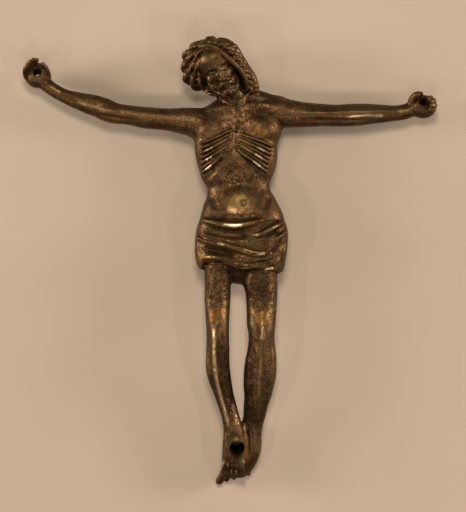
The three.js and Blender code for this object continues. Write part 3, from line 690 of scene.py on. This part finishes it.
# Hollows between the loincloth's rolls, and its small pleats
loincloth = {
    "hollows": [
        ([(-10.6, 11.2), (-5.8, 9.9), (-1.0, 8.9), (4.4, 8.7), (7.4, 10.4)], 2.0, 0.85),
        ([(-9.8, 3.9), (-5.0, 3.3), (0.0, 2.1), (2.6, 0.8)], 1.6, 0.75),
        ([(10.8, 7.2), (13.4, 8.9), (16.4, 10.6)], 0.9, 0.5),
        ([(13.4, 2.4), (15.4, 4.8), (17.0, 6.6)], 0.9, 0.5),
        ([(8.0, -1.0), (12.0, -0.2), (14.6, 1.0)], 1.2, 0.4),
        ([(-9.6, -1.6), (-6.0, -0.7), (-2.2, -1.0)], 0.8, 0.3),
        ([(3.0, 4.0), (7.3, 2.2), (10.4, 2.1)], 0.5, 0.3),
    ],
    "pleats": [
        ([(-7.6, 10.2), (-3.0, 8.9), (2.0, 8.3)], 0.7, 0.22),
        ([(-9.4, 3.0), (-5.6, 2.3), (-2.0, 1.6)], 0.6, 0.22),
        ([(16.6, 4.9), (17.6, 7.2), (18.4, 8.8)], 0.5, 0.2),
        ([(-10.2, 8.2), (-5.4, 7.0), (0.0, 5.9)], 0.5, 0.4),
        ([(8.6, 6.6), (12.2, 7.4), (15.6, 9.6)], 0.5, 0.35),
        ([(0.2, 0.9), (3.6, 0.0), (8.4, -0.2)], 0.5, 0.4),
        ([(0.6, -0.7), (3.8, -1.5), (7.8, -1.7)], 0.5, 0.4),
        ([(9.6, 0.7), (12.4, 0.5), (15.4, 2.8)], 0.5, 0.35),
        ([(11.6, -1.2), (14.6, -0.9), (16.8, 1.4)], 0.5, 0.35),
        ([(-10.5, 9.6), (-10.9, 5.0), (-10.4, 0.0)], 0.5, 0.3),
        ([(1.4, -2.6), (1.6, -4.4), (1.4, -6.6)], 0.6, 0.3),
        ([(4.2, -2.8), (4.3, -4.8), (4.0, -6.8)], 0.6, 0.3),
    ],
}


def carveLoincloth():
    for path, width, depth in loincloth["hollows"]:
        clay.stroke(path, width, -depth * 1.5, fade=0.25)
    clay.feel()
    for path, width, height in loincloth["pleats"]:
        clay.stroke(path, width, height, "crest", fade=0.3, steep=0.6)
    clay.feel()


limbs = {
    "ridges": [
        ([(-5.1, -19.0), (-5.0, -24.0), (-4.6, -36.5), (-2.9, -44.8), (-0.6, -52.6), (0.6, -58.6)],
         2.4, 1.05, "crest"),
        ([(10.8, -21.0), (10.6, -26.0), (10.2, -31.5), (9.8, -37.5), (9.2, -46.5), (8.0, -55.0)],
         2.4, 0.95, "crest"),
        ([(-57.0, 56.6), (-51.7, 54.5), (-47.3, 51.8), (-42.0, 50.2), (-36.0, 49.2)], 1.5, 0.35, "crest"),
        ([(20.0, 49.6), (30.0, 49.2), (38.0, 49.6), (46.0, 49.6), (56.0, 50.2)], 1.6, 0.35, "crest"),
        ([(4.8, -57.0), (5.4, -63.0), (4.8, -68.4)], 0.9, 0.4, "round"),
    ],
    "hollows": [
        ([(20.0, 47.0), (30.0, 46.8), (40.0, 46.8), (52.0, 47.6)], 1.2, 0.35),
        ([(-54.0, 52.6), (-46.0, 49.4), (-38.0, 47.6), (-28.0, 46.4)], 1.1, 0.3),
        ([(-7.0, -24.0), (-6.8, -34.0), (-5.2, -42.0)], 1.3, 0.25),
        ([(-2.2, -24.0), (-1.8, -34.0), (-0.4, -42.0)], 1.3, 0.2),
        ([(13.2, -26.0), (12.8, -33.0), (11.8, -43.0)], 1.4, 0.3),
        ([(7.4, -26.0), (6.8, -33.0), (6.6, -43.0)], 1.4, 0.2),
        ([(-7.4, -6.0), (-6.4, -12.0), (-5.8, -16.0)], 1.6, 0.25),
        ([(6.6, -5.0), (7.6, -12.0), (8.2, -17.0)], 1.6, 0.25),
        ([(5.0, -54.0), (6.2, -60.0), (6.0, -66.0)], 0.7, 0.45),
    ],
}


def carveLimbs():
    for path, width, depth in limbs["hollows"]:
        clay.stroke(path, width, -depth)
    clay.feel()
    for path, width, height, profile in limbs["ridges"]:
        clay.stroke(path, width, height, profile, fade=0.15)
    for x in (-1.5, -0.2, 1.1, 2.4):  # tendons down to the toes
        clay.stroke([(1.2 + x * 0.4, -66.2), (x + 0.2, -69.4)], 0.5, 0.22)
    clay.feel()


def carveFace():
    sides = (-1, 1)

    def press(x, y, z, radii, height):
        clay.swell(np.array(headPlace @ Vector((x, y, z))), radii, height)

    def line(points, width, height, profile="round"):
        clay.stroke(points, width, height, profile, place=headPlace)

    for side in sides:
        press(side * 2.2, -0.2, 6.0, (1.9, 1.5, 2.2), -0.8)  # sockets
        press(side * 3.5, -4.2, 4.0, (1.5, 1.7, 2.0), -0.25)  # under the cheekbones
    clay.feel()
    for side in sides:
        press(side * 2.15, -0.45, 5.2, (1.35, 1.05, 1.6), 0.62)  # closed lids over the eyes
    clay.feel()
    for side in sides:
        line([(side * 1.1, -0.75), (side * 2.15, -1.1), (side * 3.2, -0.75)], 0.34, -0.26)
        line([(side * 1.1, 0.1), (side * 2.1, 0.42), (side * 3.2, 0.0)], 0.36, -0.2)
        line([(side * 1.0, -2.9), (side * 2.0, -4.0), (side * 2.9, -5.6)], 0.5, -0.2)
        for i in range(face["beardStrands"]):
            share = i / (face["beardStrands"] - 1)
            top, low = between((4.7, -2.8), (0.45, -7.6), share), between((3.5, -8.2), (0.2, -11.2), share)
            bend = between(top, low, 0.5) + (0.35, -0.1)
            line([(side * x, y) for x, y in (top, bend, low)], 0.36, -0.3)
        line([(side * 0.4, -4.6), (side * 1.5, -4.9), (side * 2.7, -6.3)], 0.3, -0.16)
    line([(-1.3, -6.2), (0, -6.15), (1.3, -6.2)], 0.34, -0.3)  # the closed mouth
    clay.feel()


carveFace()
carveChest()
carveBelly()
carveLoincloth()
carveLimbs()
clay.relax(1, 0.4)
clay.co[:, 2] = np.maximum(clay.co[:, 2], 0)  # the filed back
clay.feel()
print("carved")


# Where the bronze shows wear and dirt and where highlights and shade are painted into its colour, on top of
# what its own bulges and hollows give

# Rubbed to gold, of that gold the olive parts, and darkened patches, partly dirt and partly painted shade:
# centre in plan, radii, strength
rubbed = [
    ((-4.4, -17.6), (3.4, 4.2), 0.75), ((10.6, -19.0), (2.8, 3.8), 0.8), ((-4.2, -9.0), (3.4, 5.0), 0.35),
    ((3.0, 19.6), (6.6, 3.4), 0.72), ((9.4, 42.6), (4.2, 2.0), 0.8), ((-5.6, 42.4), (3.6, 1.8), 0.4),
    ((9.9, -38.0), (1.6, 9.0), 0.35), ((-4.6, -32.0), (2.0, 12.0), 0.25), ((5.2, -63.0), (2.0, 6.0), 0.7),
    ((1.6, 61.2), (3.0, 3.0), 0.3), ((-52.0, 53.6), (5.0, 3.0), 0.3), ((-30.0, 48.0), (20.0, 5.0), 0.3),
    ((38.0, 49.0), (20.0, 5.0), 0.3), ((4.0, 3.4), (8.0, 2.0), 0.6), ((3.6, 5.6), (13.0, 7.0), 0.5),
    ((-8.0, 1.0), (4.0, 1.6), 0.5), ((3.0, 12.4), (9.0, 1.6), 0.5),
]

greened = [((3.0, 19.6), (10.0, 6.0), 1.0), ((4.0, 4.0), (14.0, 8.0), 0.6), ((-4.2, -9.0), (5.0, 6.0), 0.6)]
# Darkened patches: painted shade in the palms, under the chin, between the thighs, in the breastbone's pits
# and the loincloth's grooves; a darker tone on the legs, feet, cloth and chest
soiledAndShaded = [
    ((-64.8, 63.6), (3.0, 2.6), 0.5), ((64.6, 52.6), (3.4, 2.6), 0.6), ((2.4, -3.0), (4.4, 6.0), 0.35),
    ((-0.6, 54.6), (5.0, 2.6), 0.5), ((2.0, 43.4), (1.2, 2.0), 0.5), ((0.6, 9.6), (9.0, 1.8), 0.35),
    ((-4.0, 3.2), (7.0, 1.4), 0.35), ((9.6, 6.4), (6.0, 1.6), 0.3), ((-1.0, 46.6), (12.0, 3.0), 0.22),
    ((3.6, 5.0), (16.0, 10.0), 0.48), ((-4.3, -9.0), (6.5, 13.0), 0.5), ((10.2, -9.0), (7.0, 12.0), 0.5),
    ((9.0, -44.0), (7.0, 18.0), 0.62), ((-3.0, -42.0), (6.5, 22.0), 0.74), ((-7.6, 48.4), (4.6, 3.6), 0.56),
    ((10.0, 49.0), (5.6, 3.8), 0.56), ((1.4, -62.0), (7.0, 9.0), 0.5), ((2.0, 28.0), (12.0, 6.0), 0.36),
]


# Painted highlights on the ribs: where along each rib they go, their half width and strength
ribPaintedGlint = {"from": 0.52, "to": 0.85, "width": 0.5, "strength": 1.1, "topStrength": 0.6}


def paintedRibGlints():
    # Painted highlights along the outer halves of the stronger ribs: lighter, smoother metal there
    glints = []
    for first, last in (chest["rightRibs"], chest["leftRibs"]):
        for i in range(0, chest["ribs"], 2):
            rib = between(first, last, i / (chest["ribs"] - 1))
            run = smoothRun(rib, 0.5)
            start, end = (int(len(run) * ribPaintedGlint[key]) for key in ("from", "to"))
            strength = ribPaintedGlint["strength" if i else "topStrength"]
            glints.append((run[start:end], ribPaintedGlint["width"], strength))
    return glints


polishAndPaintedGlints = [  # paths in plan where highlights are painted on, as lighter, smoother, fully metallic metal, partly polish and partly painted glint; half width, strength
    ([(-5.6, -19.6), (-5.5, -24.0), (-5.1, -36.5), (-3.4, -44.8), (-1.2, -52.6), (0.0, -58.4)], 0.95, 0.86),
    ([(10.9, -18.0), (10.7, -22.0), (10.4, -27.0)], 1.3, 0.74),
    ([(10.2, -30.5), (9.8, -37.5), (9.3, -46.5)], 0.7, 0.5),
    ([(-3.4, 12.3), (0.7, 11.7), (4.6, 12.0)], 1.0, 0.95),
    ([(3.4, 3.8), (7.6, 2.9), (11.6, 3.2)], 0.8, 0.75),
    ([(-5.0, 6.0), (-1.7, 5.3)], 0.7, 0.8),
    ([(8.4, 2.6), (11.8, 2.3)], 0.8, 1.0),
    ([(7.4, 8.8), (9.4, 8.5)], 0.6, 0.9),
    ([(11.0, -2.9), (12.6, -2.6), (14.4, -2.6)], 0.7, 1.0),
    ([(-8.0, 1.4), (-5.0, 1.4)], 0.7, 0.7),
    ([(-1.4, 17.9), (0.4, 16.9), (2.4, 16.2)], 2.0, 0.72),
    ([(11.6, 9.6), (14.0, 11.1), (16.0, 12.3)], 0.6, 0.85),
    ([(0.4, -59.4), (2.6, -59.4)], 0.6, 0.9),
    ([(0.2, -69.4), (0.2, -71.0)], 0.6, 1.0),
    ([(1.8, -69.6), (1.8, -71.2)], 0.6, 1.0),
    ([(-51.0, 53.2), (-47.4, 51.2)], 0.9, 0.6),
    ([(38.0, 47.8), (44.0, 48.2), (52.0, 48.4)], 1.0, 0.9),
    ([(-52.0, 53.4), (-46.0, 50.8), (-40.0, 49.4)], 1.0, 0.75),
] + paintedRibGlints()


# Bulges are what stands out from the clay rubbed down a little, more and much: rubs, weight
ageing = {
    "rubs": ((3, 0.4), (30, 0.4), (120, 0.35)), "usualShare": 92, "mostBulge": 1.6,
    "wearGain": 0.42, "mostWear": 0.46, "hollowDarkGain": 0.8, "boreShadeRim": 0.3, "strokeFade": 0.15,
}


def patches(where, facing, spots):
    value = np.zeros(len(where))
    for (x, y), (wide, long), strength in spots:
        gap = ((where[:, 0] - x) / wide) ** 2 + ((where[:, 1] - y) / long) ** 2
        value = np.maximum(value, strength * np.clip(1.4 - 1.4 * gap, 0, 1) * (facing[:, 2] > 0.1))
    return value


def addWear():
    clay = Clay(figure)
    start, facing = clay.co.copy(), clay.facing.copy()
    bulge = np.zeros(len(start))
    for times, weight in ageing["rubs"]:
        clay.co = start.copy()
        clay.relax(times, 0.6)
        lift = ((start - clay.co) * facing).sum(1)
        usual = max(1e-6, np.percentile(np.abs(lift), ageing["usualShare"]))
        bulge += weight * np.clip(lift / usual, -ageing["mostBulge"], ageing["mostBulge"])
    clay.co = start.copy()
    clay.feel()
    wearAndGlint = np.clip(bulge * ageing["wearGain"], 0, ageing["mostWear"])
    # darker in the hollows by how deep they lie, and in the listed patches, partly dirt and partly painted
    # shade
    dirtAndShade = np.maximum(np.clip(-bulge * ageing["hollowDarkGain"], 0, 1), patches(start, facing, soiledAndShaded))
    for nail in nails.values():  # painted shade: the bores and a rim round them are made black inside, with no wear
        axis = np.array((0, -math.sin(nail["lean"]), math.cos(nail["lean"])))
        off = start - nail["at"]
        off = np.linalg.norm(off - (off @ axis)[:, None] * axis, axis=1)
        within = off < nail["radius"] + ageing["boreShadeRim"]
        dirtAndShade[within] = 1
        wearAndGlint[within] = 0
    # painted highlights: along each path the metal counts as worn, so it is lighter and smoother there, and
    # its dirt is taken away
    for path, width, strength in polishAndPaintedGlints:
        picked, off, along = clay.reach(path, width)
        ends = ease(along / ageing["strokeFade"]) * ease((1 - along) / ageing["strokeFade"])
        paintedShine = strength * ends * (1 - off * off)
        wearAndGlint[picked] = np.maximum(wearAndGlint[picked], paintedShine)
        dirtAndShade[picked] *= 1 - paintedShine
    tints = {"gold": patches(start, facing, rubbed), "green": patches(start, facing, greened)}
    for name, value in {"wearAndGlint": wearAndGlint, "dirtAndShade": dirtAndShade, **tints}.items():
        attribute = figure.data.attributes.new(name, "FLOAT", "POINT")
        attribute.data.foreach_set("value", value.astype(np.float32))


def finishMesh():
    activate(figure)
    triangles = sum(len(p.vertices) - 2 for p in figure.data.polygons)
    thin = figure.modifiers.new("thin", "DECIMATE")
    thin.ratio = min(1, setup["trianglesKept"] / triangles)
    bpy.ops.object.modifier_apply(modifier="thin")
    addWear()
    figure.data.transform(Matrix.Scale(mm, 4))
    bpy.ops.object.shade_smooth()


finishMesh()
print("finished", len(figure.data.polygons), "faces")

figure.name = "corpus"
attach(figure, "root")
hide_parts("christ_figure")


# Shader maths: a socket wrapped so that values can be written as sums

class Value:
    def __init__(self, graph, socket):
        self.graph = graph
        self.socket = socket

    def math(self, operation, *others, flip=False, clamp=False):
        inputs = [other.socket if isinstance(other, Value) else other for other in others]
        inputs = inputs + [self.socket] if flip else [self.socket] + inputs
        settings = {"operation": operation, "use_clamp": clamp}
        return self.graph.add("ShaderNodeMath", settings, dict(enumerate(inputs)))

    def __add__(self, other):
        return self.math("ADD", other)

    __radd__ = __add__

    def __mul__(self, other):
        return self.math("MULTIPLY", other)

    __rmul__ = __mul__

    def __sub__(self, other):
        return self.math("SUBTRACT", other)

    def __rsub__(self, other):
        return self.math("SUBTRACT", other, flip=True)

    def within(self, low, high):  # 0 at low, 1 at high, eased
        return self.graph.add("ShaderNodeMapRange", {"interpolation_type": "SMOOTHSTEP"},
                              {"Value": self, "From Min": low, "From Max": high})


class Graph:
    def __init__(self, material):
        material.use_nodes = True
        self.tree = material.node_tree
        self.shader = self.tree.nodes["Principled BSDF"]

    def add(self, kind, settings=None, inputs=None, out=0):
        node = self.tree.nodes.new(kind)
        for name, value in (settings or {}).items():
            setattr(node, name, value)
        for name, value in (inputs or {}).items():
            self.link(value, node.inputs[name])
        return Value(self, node.outputs[out])

    def link(self, value, socket):
        if isinstance(value, Value):
            value = value.socket
        if isinstance(value, bpy.types.NodeSocket):
            self.tree.links.new(value, socket)
        else:
            socket.default_value = value

    def mix(self, share, first, second):
        node = self.tree.nodes.new("ShaderNodeMix")
        node.data_type = "RGBA"
        for name, value in (("Factor", share), ("A", first), ("B", second)):
            socket = next(s for s in node.inputs if s.name == name and s.enabled)
            self.link(value, socket)
        return Value(self, next(s for s in node.outputs if s.enabled))

    def noise(self, scale, detail=3.0, rough=0.55):
        place = self.add("ShaderNodeTexCoord", out="Object")
        return self.add("ShaderNodeTexNoise", {"noise_dimensions": "3D"},
                        {"Vector": place, "Scale": scale, "Detail": detail, "Roughness": rough})


# Bronze: worn metal and painted highlights where the wear attribute is high, dark with dirt and painted shade
# where the dirt attribute is

patina = {
    "skin": (0.088, 0.045, 0.019, 1), "skinWarm": (0.132, 0.068, 0.027, 1),
    "skinGreen": (0.087, 0.063, 0.025, 1), "skinDull": (0.041, 0.0175, 0.0070, 1), "dullShare": 0.7,
    # speck is dark patina; the dirt colour paints both dirt and painted shade
    "speck": (0.030, 0.0105, 0.0018, 1), "dirtAndShade": (0.019, 0.0068, 0.0013, 1),
    # the worn colour is a light, near-white painted highlight colour; wornEdge is the golden bare metal round
    # it
    "wornAndGlint": (0.62, 0.46, 0.29, 1), "wornEdge": (0.40, 0.22, 0.075, 1),
    "brassy": (0.235, 0.105, 0.022, 1), "brassGreen": (0.185, 0.122, 0.034, 1),
    "roughSkin": 0.47, "roughWorn": 0.27, "roughDirt": 0.8, "roughSpread": 0.75, "specular": 0.25,
    "metal": 0.9, "speckFrom": 0.44, "speckTo": 0.57, "speckShare": 0.92, "goldShare": 0.65, "grain": 2000,
    "wornShare": 0.73, "wornFrom": 0.35, "wornTo": 1.05, "bump": 0.42, "pitDepth": 0.00012,
}


def makeBronze():
    material = bpy.data.materials.new("bronze")
    graph = Graph(material)
    wearAndGlint, dirtAndShade, gold, green = (graph.add("ShaderNodeAttribute", {"attribute_name": name}, out="Fac")
                               for name in ("wearAndGlint", "dirtAndShade", "gold", "green"))
    broad = graph.noise(120, 2)
    mid = graph.noise(560, 3)
    fine = graph.noise(patina["grain"], 2, 0.7)
    mottle = mid * 0.35 + fine * 0.65
    wornAndGlint = (wearAndGlint + (mid - 0.5) * 0.7 + (fine - 0.5) * 0.9).within(patina["wornFrom"], patina["wornTo"])
    golden = (gold + (mid - 0.5) * 2.2 + (fine - 0.5) * 1.2).within(0.3, 1.0)
    specks = (mottle - gold * 0.04 - wearAndGlint * 0.08).within(patina["speckFrom"], patina["speckTo"])
    dirtyAndShaded = (dirtAndShade + (mid - 0.5) * 0.7 + (fine - 0.5) * 0.8).within(0.2, 0.9)
    colour = graph.mix(broad.within(0.4, 0.62), patina["skin"], patina["skinWarm"])
    colour = graph.mix(graph.noise(340, 3).within(0.48, 0.66), colour, patina["skinGreen"])
    dull = graph.noise(210, 3, 0.6).within(0.5, 0.64) * patina["dullShare"]
    colour = graph.mix(dull, colour, patina["skinDull"])
    colour = graph.mix(specks * patina["speckShare"], colour, patina["speck"])
    brass = graph.mix(green, patina["brassy"], patina["brassGreen"])
    colour = graph.mix(golden * patina["goldShare"], colour, brass)
    # bare golden metal on the worn high points, near white where highlights are painted
    bareMetalAndGlint = graph.mix(wornAndGlint.within(0.3, 0.9), patina["wornEdge"], patina["wornAndGlint"])
    colour = graph.mix(wornAndGlint * patina["wornShare"], colour, bareMetalAndGlint)
    # darkened by dirt and by painted shade: hollows, palms, grooves and bores
    colour = graph.mix(dirtyAndShaded * 0.9, colour, patina["dirtAndShade"])
    rough = patina["roughSkin"] + (mottle - 0.5) * patina["roughSpread"]
    rough = rough - wornAndGlint * (patina["roughSkin"] - patina["roughWorn"])
    rough = rough + dirtyAndShaded * (patina["roughDirt"] - patina["roughSkin"])
    graph.link(colour, graph.shader.inputs["Base Color"])
    graph.link(rough, graph.shader.inputs["Roughness"])
    metal = patina["metal"] + wornAndGlint * (1 - patina["metal"]) + golden * 0.2 - dirtyAndShaded * 0.1
    graph.link(metal.math("MINIMUM", 1.0, clamp=True), graph.shader.inputs["Metallic"])
    graph.shader.inputs["Specular IOR Level"].default_value = patina["specular"]
    pitting = {"Height": mottle - specks * 0.5, "Strength": patina["bump"], "Distance": patina["pitDepth"]}
    bump = graph.add("ShaderNodeBump", {}, pitting)
    graph.link(bump, graph.shader.inputs["Normal"])
    return material


figure.data.materials.clear()
figure.data.materials.append(makeBronze())


# Camera, floor and lights

photo = {"long side": 512, "pixels per mm": 3.0, "centre": (0.83, 1.67), "focus height": 8.0, "distance": 1.3}


def addCamera():
    x, y = photo["centre"]
    height = photo["focus height"] * mm + photo["distance"]
    bpy.ops.object.camera_add(location=(x * mm, y * mm, height), rotation=(0, 0, 0))
    camera = bpy.context.object
    seen = photo["long side"] / photo["pixels per mm"] * mm
    camera.data.lens = camera.data.sensor_width * photo["distance"] / seen
    camera.data.clip_start = 0.05
    bpy.context.scene.camera = camera


def addFloor():
    clearSelection()
    bpy.ops.mesh.primitive_plane_add(size=4, location=(0, 0, -0.00003))
    floor = bpy.context.object
    floor.name = "floor"
    paper = bpy.data.materials.new("paper")
    graph = Graph(paper)
    tone = graph.noise(14, 2)
    colour = graph.mix(tone.within(0.3, 0.7), (0.405, 0.306, 0.222, 1), (0.43, 0.325, 0.236, 1))
    graph.link(colour, graph.shader.inputs["Base Color"])
    graph.shader.inputs["Roughness"].default_value = 0.9
    floor.data.materials.append(paper)


def addSoftbox(name, place, aim, size, power, colour=(1, 0.95, 0.88)):
    bpy.ops.object.light_add(type="AREA", location=place)
    light = bpy.context.object
    light.name = name
    light.rotation_euler = (Vector(aim) - Vector(place)).to_track_quat("-Z", "Y").to_euler()
    light.data.size = size
    light.data.energy = power
    light.data.color = colour


addCamera()
addFloor()
addSoftbox("high softbox", (0, 0.42, 1.05), (0, 0, 0), 0.25, 7.1)
addSoftbox("front softbox", (0, -0.5, 1.0), (0, 0, 0), 0.25, 2.0)
addSoftbox("left softbox", (-0.9, 0.12, 0.24), (0, 0, 0), 0.3, 8.6)
addSoftbox("right softbox", (0.9, 0.2, 0.24), (0, 0, 0), 0.3, 9.0)
addSoftbox("left lamp", (-0.6, -0.35, 0.75), (0, 0, 0), 0.06, 1.1)
addSoftbox("right lamp", (0.6, -0.35, 0.75), (0, 0, 0), 0.06, 1.1)
world = bpy.data.worlds.new("studio")
bpy.context.scene.world = world
world.use_nodes = True
world.node_tree.nodes["Background"].inputs["Color"].default_value = (1, 0.96, 0.9, 1)
world.node_tree.nodes["Background"].inputs["Strength"].default_value = 0.12
bpy.context.scene.view_settings.view_transform = "Standard"
